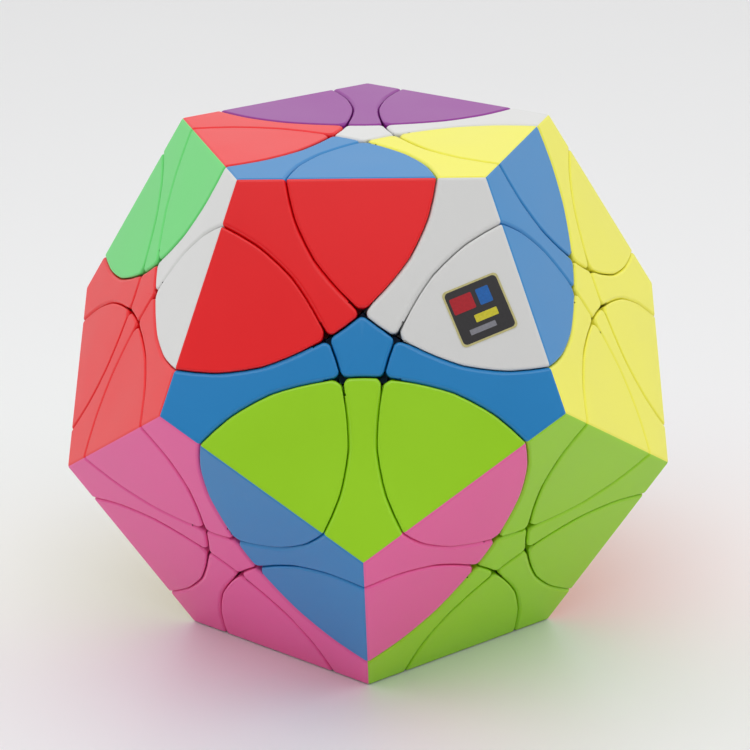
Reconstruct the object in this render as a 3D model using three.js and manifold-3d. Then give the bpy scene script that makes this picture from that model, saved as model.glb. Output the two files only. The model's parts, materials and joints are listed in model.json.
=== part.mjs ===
// A corner-turning dodecahedron puzzle: twenty corner pieces, thirty edge pieces and a core that
// carries twelve fixed face caps. Millimetres, +Z up, origin at the middle of the bottom face.
//
// Every corner sits on a screw along the line from the centre through its vertex. One turning layer
// is a corner and the three edges that meet it. The layer's outline is a solid of revolution about
// that line, so the three kinds of piece come from one profile: an edge is what two layers share, a
// corner is what its own layer holds alone, and the core and its caps are what no layer reaches.

import * as THREE from "three";
import { mergeVertices } from "three/addons/utils/BufferGeometryUtils.js";
import Module from "manifold-3d";

const wasm = await Module();
wasm.setup();

// Driving dimensions, in millimetres.
const EDGE = 36; // edge of the dodecahedron, about 80 mm from face to face
const GAP = 0.4; // play between two neighbouring pieces
const ROUND_SEGMENTS = 12; // a multiple of 12, so that a layer's facets line up every 30 degrees
const HOLE_SEGMENTS = 8;

// The turning layer's profile as [distance from its axis, height above the centre], in edges.
const FLANGE_ANGLE = THREE.MathUtils.degToRad(31.5); // half-angle of the flange under the wall
const FLANGE_RADIUS = 0.76 * EDGE; // top of the flange, measured from the centre
const WALL_FOOT = [0.33, 0.685]; // where the wall stands on the flange
const WALL_BEND = [[0.59, 0.955], [0.668, 0.985], [0.752, 1.112]]; // Bezier from ledge to outer face
const WALL_STEPS = 2;
const WALL_RUN_OUT = 4.5; // how far the last step is carried on, to above the vertices

// The core ball, and the underside of the pieces that slide over it.
const BALL_RADIUS = 22;
const UNDERSIDE_RADIUS = 23.4;
const BALL_SEGMENTS = 16;

// The screw that holds a corner, and the hollow that it sits in, by distance from the centre.
const SCREW_RADIUS = 1.3;
const SCREW_HEAD_RADIUS = 2.8;
const SCREW_TIP = 12;
const SCREW_NECK = 34;
const SCREW_TOP = 35.6;
const BORE_RADIUS = SCREW_RADIUS + GAP;
const SOCKET_BOTTOM = 11;
const CHAMBER_RADIUS = 3.4;
const CHAMBER_FLOOR = 28.5;
const CHAMBER_TOP = 37;

// The twelve faces, in the order top, upper ring, lower ring, bottom, with their solved colours.
const FACES = [
  { name: "U", colour: "white" },
  { name: "F", colour: "blue" },
  { name: "R", colour: "yellow" },
  { name: "BR", colour: "purple" },
  { name: "BL", colour: "green" },
  { name: "L", colour: "red" },
  { name: "DR", colour: "lime" },
  { name: "DBR", colour: "orange" },
  { name: "B", colour: "sky" },
  { name: "DBL", colour: "cream" },
  { name: "DL", colour: "pink" },
  { name: "D", colour: "grey" },
];
const COLOURS = {
  white: 0xe8e8e6, blue: 0x2a86c4, yellow: 0xf2ec50, purple: 0xa24bb0, green: 0x5fd873, red: 0xe02028,
  lime: 0x90cc1e, orange: 0xf28a22, sky: 0x7fc8e8, cream: 0xf3e3ae, pink: 0xe56fae, grey: 0x8d9196,
};

// The turns that mix the puzzle, in order. Each carries the colours from face to face as listed.
const TURNS = [
  ["F", "R", "U"],
  ["F", "U", "L"],
  ["L", "U", "BL"],
  ["BR", "U", "BL"],
  ["F", "DL", "DR"],
];

// The dodecahedron's own measures.
const GOLDEN = (1 + Math.sqrt(5)) / 2;
const IN_RADIUS = (EDGE * GOLDEN ** 2) / (2 * Math.sqrt(3 - GOLDEN));
const CIRCUM_RADIUS = (EDGE * GOLDEN * Math.sqrt(3)) / 2;
const RING_TILT = Math.atan(0.5);
const CLOSE = 0.01;

// ---------------------------------------------------------------- geometry and solids

/** A closed solid from a three.js geometry, its shared vertices merged. */
function solidOf(geometry) {
  const bare = geometry.clone();
  bare.deleteAttribute("normal");
  bare.deleteAttribute("uv");
  const merged = mergeVertices(bare, 1e-4);
  const corners = merged.index.array;
  const triangles = [];
  for (let i = 0; i < corners.length; i += 3) {
    const [a, b, c] = corners.slice(i, i + 3);
    if (a !== b && b !== c && c !== a) triangles.push(a, b, c);
  }
  return new wasm.Manifold(new wasm.Mesh({
    numProp: 3,
    vertProperties: new Float32Array(merged.attributes.position.array),
    triVerts: new Uint32Array(triangles),
  }));
}

/** The three.js geometry of a solid. */
function geometryOf(solid) {
  const mesh = solid.getMesh();
  const geometry = new THREE.BufferGeometry();
  geometry.setAttribute("position", new THREE.BufferAttribute(mesh.vertProperties, 3));
  geometry.setIndex(new THREE.BufferAttribute(mesh.triVerts, 1));
  geometry.computeVertexNormals();
  return geometry;
}

/** The geometry carried by a matrix, as a solid. */
function placed(geometry, matrix) {
  return solidOf(geometry.clone().applyMatrix4(matrix));
}

/** A solid of revolution about +Z from [radius, height] points that run up from axis to axis. */
function turned(points, segments) {
  const profile = points.map(([radius, height]) => new THREE.Vector2(radius, height));
  return new THREE.LatheGeometry(profile, segments).rotateX(Math.PI / 2);
}

/** A turned shape of straight steps, each [radius, from, to] along the axis. */
function stepped(steps, segments) {
  const points = [[0, steps[0][1]]];
  for (const [radius, from, to] of steps) points.push([radius, from], [radius, to]);
  points.push([0, steps[steps.length - 1][2]]);
  return turned(points, segments);
}

/** A matrix whose Z runs along one direction and whose X leans towards another. */
function frameAlong(axis, towards) {
  const z = axis.clone().normalize();
  const x = towards.clone().addScaledVector(z, -towards.dot(z)).normalize();
  const y = new THREE.Vector3().crossVectors(z, x);
  return new THREE.Matrix4().makeBasis(x, y, z);
}

// ---------------------------------------------------------------- the dodecahedron

const bodyGeometry = new THREE.DodecahedronGeometry(CIRCUM_RADIUS)
  .rotateY(-Math.atan(1 / GOLDEN))
  .rotateZ(Math.PI / 2);

/** The outward direction of each face, in the order of FACES. */
function faceNormals() {
  const up = new THREE.Vector3(0, 0, 1);
  const ring = (tilt, start) => [0, 1, 2, 3, 4].map((step) => {
    const around = start + (step * 2 * Math.PI) / 5;
    return new THREE.Vector3(
      Math.cos(tilt) * Math.cos(around), Math.cos(tilt) * Math.sin(around), Math.sin(tilt));
  });
  const front = -Math.PI / 2;
  return [up, ...ring(RING_TILT, front), ...ring(-RING_TILT, front + Math.PI / 5), up.clone().negate()];
}

/** The vertices, each with its point and the three faces that meet there. */
function findVertices(normals) {
  const positions = bodyGeometry.attributes.position;
  const found = [];
  for (let i = 0; i < positions.count; i += 1) {
    const point = new THREE.Vector3().fromBufferAttribute(positions, i);
    if (found.some((vertex) => vertex.point.distanceTo(point) < CLOSE)) continue;
    const faces = FACES.map((face, k) => k)
      .filter((k) => Math.abs(normals[k].dot(point) - IN_RADIUS) < CLOSE);
    found.push({ point, faces, name: faces.map((k) => FACES[k].name).join("_") });
  }
  return found.sort((a, b) => a.faces.reduce((sum, k, i) => sum || k - b.faces[i], 0));
}

/** The edges, each with its two ends, its middle and its two faces. */
function findEdges(vertices) {
  const found = [];
  vertices.forEach((start, i) => vertices.slice(i + 1).forEach((end) => {
    if (Math.abs(start.point.distanceTo(end.point) - EDGE) > CLOSE) return;
    const faces = start.faces.filter((k) => end.faces.includes(k));
    const middle = start.point.clone().add(end.point).divideScalar(2);
    found.push({ start, end, middle, faces, name: faces.map((k) => FACES[k].name).join("_") });
  }));
  return found;
}

const normals = faceNormals();
const vertices = findVertices(normals);
const edges = findEdges(vertices);

/** The vertices at the other ends of a vertex's three edges. */
function neighboursOf(vertex) {
  return vertices.filter((other) => Math.abs(other.point.distanceTo(vertex.point) - EDGE) < CLOSE);
}

/** The frame of a vertex: Z through it, X towards a neighbour. */
function vertexFrame(vertex) {
  return frameAlong(vertex.point, neighboursOf(vertex)[0].point);
}

/** The frame of an edge: Z through its middle, X along it. */
function edgeFrame(edge) {
  return frameAlong(edge.middle, edge.start.point);
}

/** The eight vertices, corners of one cube, whose layers turn without crossing each other. */
function turningVertices() {
  const lower = vertices.find((vertex) => vertex.name === "F_DR_DL");
  const upper = vertices.find((vertex) => vertex.name === "U_F_R");
  const cubeAxis = upper.point.clone().sub(lower.point).normalize();
  const reach = CIRCUM_RADIUS / Math.sqrt(3);
  return vertices.filter((vertex) => Math.abs(Math.abs(vertex.point.dot(cubeAxis)) - reach) < CLOSE);
}

// ---------------------------------------------------------------- the turning layer's profile

/** A line of points moved sideways, outwards for a positive distance. */
function offsetLine(points, distance) {
  const normalAt = (i) => {
    const [x0, y0] = points[i];
    const [x1, y1] = points[i + 1];
    const length = Math.hypot(x1 - x0, y1 - y0);
    return [(y1 - y0) / length, (x0 - x1) / length];
  };
  return points.map(([x, y], i) => {
    const [ax, ay] = normalAt(Math.max(i - 1, 0));
    const [bx, by] = normalAt(Math.min(i, points.length - 2));
    const scale = distance / (1 + ax * bx + ay * by);
    return [x + (ax + bx) * scale, y + (ay + by) * scale];
  });
}

/** A point of the flange's side, by its distance from the centre. */
function onFlange(radius) {
  return [radius * Math.sin(FLANGE_ANGLE), radius * Math.cos(FLANGE_ANGLE)];
}

/** The layer's side, from the flange up over the wall. */
function layerSide() {
  const [ledge, bend, face] = WALL_BEND.map(([x, y]) => new THREE.Vector2(x, y).multiplyScalar(EDGE));
  const wall = new THREE.QuadraticBezierCurve(ledge, bend, face).getPoints(WALL_STEPS);
  const [before, last] = wall.slice(-2);
  wall[wall.length - 1] = last.clone().sub(before).multiplyScalar(WALL_RUN_OUT).add(before);
  return [
    onFlange(UNDERSIDE_RADIUS),
    onFlange(FLANGE_RADIUS),
    WALL_FOOT.map((value) => value * EDGE),
    ...wall.map((point) => [point.x, point.y]),
  ];
}

/** The layer's solid of revolution, grown or shrunk by a distance, from a point low on its axis. */
function layerGeometry(distance, lowest) {
  const side = offsetLine(layerSide(), distance);
  const top = side[side.length - 1][1];
  return turned([[0, lowest], ...side, [0, top]], ROUND_SEGMENTS);
}

// ---------------------------------------------------------------- the pieces

const innerLayer = layerGeometry(-GAP / 2, UNDERSIDE_RADIUS);
const outerLayer = layerGeometry(GAP / 2, 0);
const body = solidOf(bodyGeometry);

/** The hollow in a corner: a bore up through its stem and a chamber for the spring and screw head. */
function chamberGeometry() {
  const steps = [[BORE_RADIUS, SOCKET_BOTTOM, CHAMBER_FLOOR], [CHAMBER_RADIUS, CHAMBER_FLOOR, CHAMBER_TOP]];
  return stepped(steps, HOLE_SEGMENTS);
}

/** A corner piece in its vertex's frame. */
function cornerGeometry() {
  const vertex = vertices[0];
  const frame = vertexFrame(vertex);
  let solid = body.intersect(placed(innerLayer, frame));
  for (const other of neighboursOf(vertex)) solid = solid.subtract(placed(outerLayer, vertexFrame(other)));
  solid = solid.subtract(placed(chamberGeometry(), frame));
  return geometryOf(solid).applyMatrix4(frame.clone().invert());
}

/** An edge piece in its edge's frame. */
function edgeGeometry() {
  const edge = edges[0];
  const frame = edgeFrame(edge);
  const solid = body
    .intersect(placed(innerLayer, vertexFrame(edge.start)))
    .intersect(placed(innerLayer, vertexFrame(edge.end)));
  return geometryOf(solid).applyMatrix4(frame.clone().invert());
}

/** The core: a ball with twenty screw sockets, and twelve posts that end in the fixed face caps. */
function coreGeometry() {
  let solid = body;
  for (const vertex of vertices) solid = solid.subtract(placed(outerLayer, vertexFrame(vertex)));
  solid = solid.add(solidOf(new THREE.SphereGeometry(BALL_RADIUS, BALL_SEGMENTS, BALL_SEGMENTS / 2)));
  const socket = stepped([[BORE_RADIUS, SOCKET_BOTTOM, CHAMBER_FLOOR]], HOLE_SEGMENTS);
  for (const vertex of vertices) solid = solid.subtract(placed(socket, vertexFrame(vertex)));
  return geometryOf(solid);
}

/** The screw that a corner turns on, along Z. */
function screwGeometry() {
  const steps = [[SCREW_RADIUS, SCREW_TIP, SCREW_NECK], [SCREW_HEAD_RADIUS, SCREW_NECK, SCREW_TOP]];
  return geometryOf(solidOf(stepped(steps, HOLE_SEGMENTS)));
}

// ---------------------------------------------------------------- the colours after mixing

/** The colour of every piece's facets once the turns have been made, by piece and face name. */
function mixedColours() {
  const paint = new Map();
  for (const piece of [...vertices, ...edges]) {
    paint.set(piece.name, Object.fromEntries(piece.faces.map((k) => [FACES[k].name, FACES[k].colour])));
  }
  const nameOf = (faces) => FACES.map((face) => face.name).filter((name) => faces.includes(name)).join("_");
  for (const cycle of TURNS) {
    const next = (name) => cycle[(cycle.indexOf(name) + 1) % cycle.length];
    const moved = [cycle, ...cycle.map((name) => [name, next(name)])].map((faces) => {
      const old = paint.get(nameOf(faces));
      return [nameOf(faces.map(next)), Object.fromEntries(faces.map((name) => [next(name), old[name]]))];
    });
    for (const [name, facets] of moved) paint.set(name, facets);
  }
  return paint;
}

// ---------------------------------------------------------------- the assembly

const plastic = (colour) => new THREE.MeshStandardMaterial({ color: colour, roughness: 0.35, metalness: 0 });
const steel = new THREE.MeshStandardMaterial({ color: 0xb9bdc2, roughness: 0.3, metalness: 1 });

/** A named mesh, turned to its place by a frame. */
function meshAt(name, geometry, material, frame) {
  const mesh = new THREE.Mesh(geometry, material);
  mesh.name = name;
  mesh.applyMatrix4(frame);
  return mesh;
}

/** The first facet's colour of a piece, by the order of FACES. */
function firstColour(paint, piece) {
  return plastic(COLOURS[paint.get(piece.name)[FACES[piece.faces[0]].name]]);
}

/** The whole puzzle, standing on its bottom face. */
function buildPuzzle() {
  const puzzle = new THREE.Group();
  const centred = new THREE.Group();
  centred.position.z = IN_RADIUS;
  puzzle.add(centred);
  const paint = mixedColours();
  const corner = cornerGeometry();
  for (const vertex of vertices) {
    centred.add(meshAt(`corner_${vertex.name}`, corner, firstColour(paint, vertex), vertexFrame(vertex)));
  }
  const petal = edgeGeometry();
  for (const edge of edges) {
    centred.add(meshAt(`edge_${edge.name}`, petal, firstColour(paint, edge), edgeFrame(edge)));
  }
  const screw = screwGeometry();
  for (const vertex of turningVertices()) {
    centred.add(meshAt(`screw_${vertex.name}`, screw, steel, vertexFrame(vertex)));
  }
  const still = new THREE.Matrix4();
  centred.add(meshAt("core_with_face_caps", coreGeometry(), plastic(COLOURS.blue), still));
  return puzzle;
}

export default buildPuzzle();
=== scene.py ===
"""A mixed corner-turning dodecahedron puzzle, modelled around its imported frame.

The shell's pieces come from three prototypes: a corner, an edge and a face cap. They are cut from turning
layers like those of the frame's solids, with smoother walls and thinner gaps, given rounded rims, and carried
to each place. Lengths are in millimetres until a piece is placed; the placed meshes are in metres.
"""

import itertools
import json
import logging
import math
from dataclasses import dataclass, field, replace
from enum import Enum

import bmesh
import bpy
from mathutils import Matrix, Vector

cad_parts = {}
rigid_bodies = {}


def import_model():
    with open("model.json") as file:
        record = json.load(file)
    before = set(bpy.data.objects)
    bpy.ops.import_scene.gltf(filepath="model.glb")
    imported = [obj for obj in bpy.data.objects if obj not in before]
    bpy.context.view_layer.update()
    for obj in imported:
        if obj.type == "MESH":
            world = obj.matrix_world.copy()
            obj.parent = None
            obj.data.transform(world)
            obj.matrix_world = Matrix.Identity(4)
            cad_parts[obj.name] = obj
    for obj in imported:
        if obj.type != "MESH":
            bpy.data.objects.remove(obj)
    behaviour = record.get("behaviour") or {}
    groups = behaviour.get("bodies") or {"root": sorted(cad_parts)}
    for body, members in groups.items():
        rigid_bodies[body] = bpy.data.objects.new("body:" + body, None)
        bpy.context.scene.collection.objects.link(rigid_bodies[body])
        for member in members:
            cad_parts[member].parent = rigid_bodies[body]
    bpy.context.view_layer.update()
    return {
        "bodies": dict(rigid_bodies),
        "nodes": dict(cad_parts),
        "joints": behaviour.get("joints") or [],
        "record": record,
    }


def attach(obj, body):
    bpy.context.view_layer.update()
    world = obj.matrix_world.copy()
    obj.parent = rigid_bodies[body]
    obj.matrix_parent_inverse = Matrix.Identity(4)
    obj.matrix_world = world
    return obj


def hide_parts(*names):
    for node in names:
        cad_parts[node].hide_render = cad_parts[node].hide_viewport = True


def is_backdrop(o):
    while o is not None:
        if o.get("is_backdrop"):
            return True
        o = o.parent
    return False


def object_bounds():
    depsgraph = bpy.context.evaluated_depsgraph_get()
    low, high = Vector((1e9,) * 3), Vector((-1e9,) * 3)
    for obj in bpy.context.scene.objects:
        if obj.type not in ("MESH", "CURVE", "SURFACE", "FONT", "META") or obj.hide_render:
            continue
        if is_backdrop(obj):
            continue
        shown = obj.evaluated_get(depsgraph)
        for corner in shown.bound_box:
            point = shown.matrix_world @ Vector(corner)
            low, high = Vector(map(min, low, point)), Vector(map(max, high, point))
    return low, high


log = logging.getLogger("puzzle")

MILLIMETRE = 0.001
GOLDEN = (1 + math.sqrt(5)) / 2
IN_RADIUS = GOLDEN**2 / (2 * math.sqrt(3 - GOLDEN))
MID_RADIUS = GOLDEN**2 / 2
CIRCUM_RADIUS = GOLDEN * math.sqrt(3) / 2
NEIGHBOUR_ANGLE = 2 * math.asin(0.5 / CIRCUM_RADIUS)
FACE_TO_VERTEX = math.acos(IN_RADIUS / CIRCUM_RADIUS)
RING_TILT = math.atan(0.5)
FRONT = -math.pi / 2
NEAR = 1e-4

# A point this near to a face's plane, in millimetres, is on it, and a facet whose normal has this much of the
# plane's lies along it.
ON_PLANE = 0.02
ALONG_PLANE = 0.99

# A cut's points that lie this close, in millimetres, become one, and shorter edges go.
CUT_MERGE = 0.006
CUT_SLIVER = 0.003

# Faces that meet at less than this lie in one plane.
FLAT_ANGLE = math.radians(0.5)

# A turn of an outline is a tip if it is sharper than TIP_ANGLE, its walls differ by more than WALL_ANGLE and
# its sides are longer than TIP_SIDE. The outline's points are within ON_OUTLINE of the plane. In millimetres.
TIP_ANGLE = math.radians(150)
WALL_ANGLE = math.radians(30)
TIP_SIDE = 0.05
ON_OUTLINE = 0.01

# Edges sharper than this stay sharp, on the shell's pieces and on the inner parts.
SHELL_SHARP = math.radians(50)
INNER_SHARP = math.radians(35)


class Colour(Enum):
    """The twelve moulded colours, as linear red, green and blue."""

    WHITE = (0.72, 0.72, 0.71)
    BLUE = (0.010, 0.225, 0.55)
    YELLOW = (0.90, 0.86, 0.075)
    PURPLE = (0.29, 0.022, 0.31)
    GREEN = (0.13, 0.72, 0.17)
    RED = (0.86, 0.005, 0.009)
    LIME = (0.33, 0.68, 0.006)
    ORANGE = (0.85, 0.20, 0.010)
    SKY = (0.18, 0.52, 0.76)
    CREAM = (0.86, 0.74, 0.42)
    PINK = (0.88, 0.11, 0.37)
    GREY = (0.20, 0.22, 0.24)

    @property
    def slot(self) -> str:
        """The name of the material for plastic of this colour."""
        return f"{self.name.lower()}_plastic"


class Face(Enum):
    """The twelve faces in the order top, upper ring, lower ring, bottom, with their solved colours."""

    U = Colour.WHITE
    F = Colour.BLUE
    R = Colour.YELLOW
    BR = Colour.PURPLE
    BL = Colour.GREEN
    L = Colour.RED
    DR = Colour.LIME
    DBR = Colour.ORANGE
    B = Colour.SKY
    DBL = Colour.CREAM
    DL = Colour.PINK
    D = Colour.GREY


FACES = list(Face)

# The turns that mix the puzzle, in order: each carries the colours from face to face as listed.
TURNS = (
    (Face.F, Face.R, Face.U),
    (Face.F, Face.U, Face.L),
    (Face.L, Face.U, Face.BL),
    (Face.BR, Face.U, Face.BL),
    (Face.F, Face.DL, Face.DR),
)


def piece_name(faces: tuple[Face, ...] | list[Face]) -> str:
    """The name of the piece that lies on these faces, in the order of FACES."""
    return "_".join(face.name for face in FACES if face in faces)


# ------------------------------------------------------------------ finishes


def new_material(name: str) -> tuple[bpy.types.Material, bpy.types.Node]:
    """An empty node material.

    Args:
        name: the material's name.

    Returns:
        The material and its Principled shader.
    """
    material = bpy.data.materials.new(name)
    material.use_nodes = True
    return material, material.node_tree.nodes["Principled BSDF"]


def object_noise(material: bpy.types.Material, scale: float, detail: float) -> bpy.types.Node:
    """A noise texture on object coordinates.

    Args:
        material: the material that gets the texture.
        scale: the noise's scale, per metre.
        detail: the noise's detail.

    Returns:
        The noise node.
    """
    nodes, links = material.node_tree.nodes, material.node_tree.links
    place = nodes.new("ShaderNodeTexCoord")
    noise = nodes.new("ShaderNodeTexNoise")
    noise.inputs["Scale"].default_value = scale
    noise.inputs["Detail"].default_value = detail
    links.new(place.outputs["Object"], noise.inputs["Vector"])
    return noise


def add_range(material: bpy.types.Material, source: bpy.types.NodeSocket, low: float, high: float,
              target: bpy.types.NodeSocket) -> None:
    """Map a 0 to 1 value onto a range and feed it to a socket.

    Args:
        material: the material that holds the nodes.
        source: the value to map.
        low: the result at 0.3, about the least a noise gives.
        high: the result at 0.7, about the most a noise gives.
        target: the socket that takes the result.
    """
    remap = material.node_tree.nodes.new("ShaderNodeMapRange")
    remap.inputs["From Min"].default_value = 0.3
    remap.inputs["From Max"].default_value = 0.7
    remap.inputs["To Min"].default_value = low
    remap.inputs["To Max"].default_value = high
    material.node_tree.links.new(source, remap.inputs["Value"])
    material.node_tree.links.new(remap.outputs["Result"], target)


def add_bump(material: bpy.types.Material, height: bpy.types.NodeSocket, depth: float) -> None:
    """Raise a height onto the material's shader.

    Args:
        material: the material that gets the bump.
        height: the height's socket.
        depth: the bump's full depth, in metres.
    """
    bump = material.node_tree.nodes.new("ShaderNodeBump")
    bump.inputs["Distance"].default_value = depth
    bump.inputs["Strength"].default_value = 1.0
    material.node_tree.links.new(height, bump.inputs["Height"])
    shader = material.node_tree.nodes["Principled BSDF"]
    material.node_tree.links.new(bump.outputs["Normal"], shader.inputs["Normal"])


def add_mottle(material: bpy.types.Material, source: bpy.types.NodeSocket, colour: tuple[float, float, float],
               spread: float) -> None:
    """Let a material's colour vary with a 0 to 1 value.

    Args:
        material: the material that holds the nodes.
        source: the value.
        colour: the middle colour.
        spread: how far the colour goes to either side, as a fraction of it.
    """
    mix = material.node_tree.nodes.new("ShaderNodeMix")
    mix.data_type = "RGBA"
    mix.inputs["A"].default_value = (*(c * (1 - spread) for c in colour), 1)
    mix.inputs["B"].default_value = (*(min(1, c * (1 + spread)) for c in colour), 1)
    material.node_tree.links.new(source, mix.inputs["Factor"])
    shader = material.node_tree.nodes["Principled BSDF"]
    material.node_tree.links.new(mix.outputs["Result"], shader.inputs["Base Color"])


@dataclass(frozen=True)
class MouldedPlastic:
    """Dyed plastic from a polished mould: a soft sheen with the faint grain and flow marks of moulding."""

    name: str
    colour: tuple[float, float, float]
    roughness: float = 0.34
    smoother: float = 0.03
    rougher: float = 0.04
    grain: float = 2600.0
    grain_depth: float = 0.000004
    flow: float = 45.0
    tint: float = 0.05

    def material(self) -> bpy.types.Material:
        """The finish as a material.

        Returns:
            The material.
        """
        material, shader = new_material(self.name)
        shader.inputs["IOR"].default_value = 1.5
        flow = object_noise(material, self.flow, 2.0)
        add_mottle(material, flow.outputs["Fac"], self.colour, self.tint)
        add_range(material, flow.outputs["Fac"], self.roughness - self.smoother,
                  self.roughness + self.rougher, shader.inputs["Roughness"])
        grain = object_noise(material, self.grain, 1.0)
        add_bump(material, grain.outputs["Fac"], self.grain_depth)
        return material


@dataclass(frozen=True)
class Steel:
    """Plated steel wire or rod, with fine drawn scratches."""

    name: str
    colour: tuple[float, float, float] = (0.60, 0.60, 0.62)
    roughness: float = 0.28
    smoother: float = 0.08
    rougher: float = 0.10
    scratches: float = 1800.0
    scratch_depth: float = 0.000006

    def material(self) -> bpy.types.Material:
        """The finish as a material.

        Returns:
            The material.
        """
        material, shader = new_material(self.name)
        shader.inputs["Base Color"].default_value = (*self.colour, 1)
        shader.inputs["Metallic"].default_value = 1.0
        scratches = object_noise(material, self.scratches, 3.0)
        add_range(material, scratches.outputs["Fac"], self.roughness - self.smoother,
                  self.roughness + self.rougher, shader.inputs["Roughness"])
        add_bump(material, scratches.outputs["Fac"], self.scratch_depth)
        return material


@dataclass(frozen=True)
class PrintedFilm:
    """Glossy printed film in one ink, with the faint unevenness of print."""

    name: str
    colour: tuple[float, float, float]
    roughness: float = 0.3
    grain: float = 3000.0
    grain_depth: float = 0.000003
    tint: float = 0.2

    def material(self) -> bpy.types.Material:
        """The finish as a material.

        Returns:
            The material.
        """
        material, shader = new_material(self.name)
        ink = object_noise(material, self.grain, 2.0)
        add_mottle(material, ink.outputs["Fac"], self.colour, self.tint)
        shader.inputs["Roughness"].default_value = self.roughness
        add_bump(material, ink.outputs["Fac"], self.grain_depth)
        return material


@dataclass(frozen=True)
class FloorPaint:
    """Pale paint on the studio's floor, with a sheen that varies a little."""

    name: str = "floor_paint"
    colour: tuple[float, float, float] = (0.86, 0.86, 0.865)
    smoothest: float = 0.42
    roughest: float = 0.5
    patches: float = 8.0

    def material(self) -> bpy.types.Material:
        """The finish as a material.

        Returns:
            The material.
        """
        material, shader = new_material(self.name)
        noise = object_noise(material, self.patches, 2.0)
        shader.inputs["Base Color"].default_value = (*self.colour, 1)
        add_range(material, noise.outputs["Fac"], self.smoothest, self.roughest, shader.inputs["Roughness"])
        return material


@dataclass
class Palette:
    """The puzzle's plastics and metals, made once and shared."""

    plastics: dict[Colour, bpy.types.Material] = field(init=False, default_factory=dict)
    core: bpy.types.Material = field(init=False)
    screw: bpy.types.Material = field(init=False)
    spring: bpy.types.Material = field(init=False)

    def __post_init__(self) -> None:
        """Make the finishes."""
        for colour in Colour:
            self.plastics[colour] = MouldedPlastic(colour.slot, colour.value).material()
        self.core = MouldedPlastic("core_plastic", (0.035, 0.036, 0.04), roughness=0.45).material()
        self.screw = Steel("screw_steel").material()
        self.spring = Steel("spring_steel", (0.66, 0.66, 0.68), 0.22).material()


# ------------------------------------------------------------------ mesh helpers


def object_from(bm: bmesh.types.BMesh, name: str) -> bpy.types.Object:
    """A linked object with the bmesh's shape; the bmesh is freed.

    Args:
        bm: the shape.
        name: the object's name.

    Returns:
        The object.
    """
    mesh = bpy.data.meshes.new(name)
    bm.to_mesh(mesh)
    bm.free()
    made = bpy.data.objects.new(name, mesh)
    bpy.context.scene.collection.objects.link(made)
    return made


def discard(*objects: bpy.types.Object) -> None:
    """Remove helper objects and their meshes.

    Args:
        objects: the objects.
    """
    for made in objects:
        mesh = made.data
        bpy.data.objects.remove(made)
        bpy.data.meshes.remove(mesh)


def combine(target: bpy.types.Object, tool: bpy.types.Object, operation: str) -> None:
    """Cut or cross a solid with another, which is then removed.

    Args:
        target: the solid that changes.
        tool: the solid that cuts it.
        operation: DIFFERENCE or INTERSECT.
    """
    modifier = target.modifiers.new("cut", "BOOLEAN")
    modifier.operation = operation
    modifier.solver = "EXACT"
    modifier.object = tool
    bpy.context.view_layer.update()
    graph = bpy.context.evaluated_depsgraph_get()
    shaped = bpy.data.meshes.new_from_object(target.evaluated_get(graph))
    bm = bmesh.new()
    bm.from_mesh(shaped)
    bmesh.ops.remove_doubles(bm, verts=bm.verts, dist=CUT_MERGE)
    bmesh.ops.dissolve_degenerate(bm, edges=bm.edges, dist=CUT_SLIVER)
    bm.to_mesh(shaped)
    bm.free()
    old = target.data
    target.modifiers.clear()
    target.data = shaped
    bpy.data.meshes.remove(old)
    discard(tool)


def dissolve_flat(bm: bmesh.types.BMesh) -> None:
    """Join neighbouring faces that lie in one plane.

    Args:
        bm: the shape that changes.
    """
    flat = [edge for edge in bm.edges if edge.is_manifold and edge.calc_face_angle(0) < FLAT_ANGLE]
    bmesh.ops.dissolve_edges(bm, edges=flat, use_verts=False)
    bm.normal_update()


def block(span: tuple[float, float, float]) -> bmesh.types.BMesh:
    """A block about the origin.

    Args:
        span: its sides along X, Y and Z.

    Returns:
        The block.
    """
    bm = bmesh.new()
    bmesh.ops.create_cube(bm, size=1)
    bmesh.ops.scale(bm, verts=bm.verts, vec=span)
    return bm


def turned(name: str, points: list[tuple[float, float]], steps: int) -> bpy.types.Object:
    """A solid of revolution about Z.

    Args:
        name: the object's name.
        points: its outline as radius and height, from the axis round to the axis.
        steps: the number of facets round it.

    Returns:
        The solid.
    """
    bm = bmesh.new()
    line = [bm.verts.new((radius, 0, height)) for radius, height in points]
    sides = [bm.edges.new(pair) for pair in itertools.pairwise(line)]
    bmesh.ops.spin(bm, geom=line + sides, cent=(0, 0, 0), axis=(0, 0, 1), dvec=(0, 0, 0),
                   angle=math.tau, steps=steps, use_merge=True)
    bmesh.ops.remove_doubles(bm, verts=bm.verts, dist=NEAR)
    bmesh.ops.recalc_face_normals(bm, faces=bm.faces)
    return object_from(bm, name)


def stepped(name: str, bands: list[tuple[float, float, float]], steps: int) -> bpy.types.Object:
    """A turned solid of straight bands.

    Args:
        name: the object's name.
        bands: each band's radius, bottom and top.
        steps: the number of facets round it.

    Returns:
        The solid.
    """
    points = [(0.0, bands[0][1])]
    for radius, bottom, top in bands:
        points += [(radius, bottom), (radius, top)]
    points.append((0.0, bands[-1][2]))
    return turned(name, points, steps)


def basis(axis: Vector, towards: Vector) -> Matrix:
    """The turn whose Z runs along an axis and whose X leans towards a point.

    Args:
        axis: the direction of Z.
        towards: the point that X leans to.

    Returns:
        The turn as a 4 by 4 matrix.
    """
    z = axis.normalized()
    x = (towards - z * towards.dot(z)).normalized()
    return Matrix((x, z.cross(x), z)).transposed().to_4x4()


# ------------------------------------------------------------------ the dodecahedron


@dataclass(frozen=True)
class Vertex:
    """A vertex: its direction from the centre and its three faces."""

    direction: Vector
    faces: tuple[Face, ...]

    @property
    def name(self) -> str:
        """The name that its corner piece goes by."""
        return piece_name(self.faces)


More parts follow.
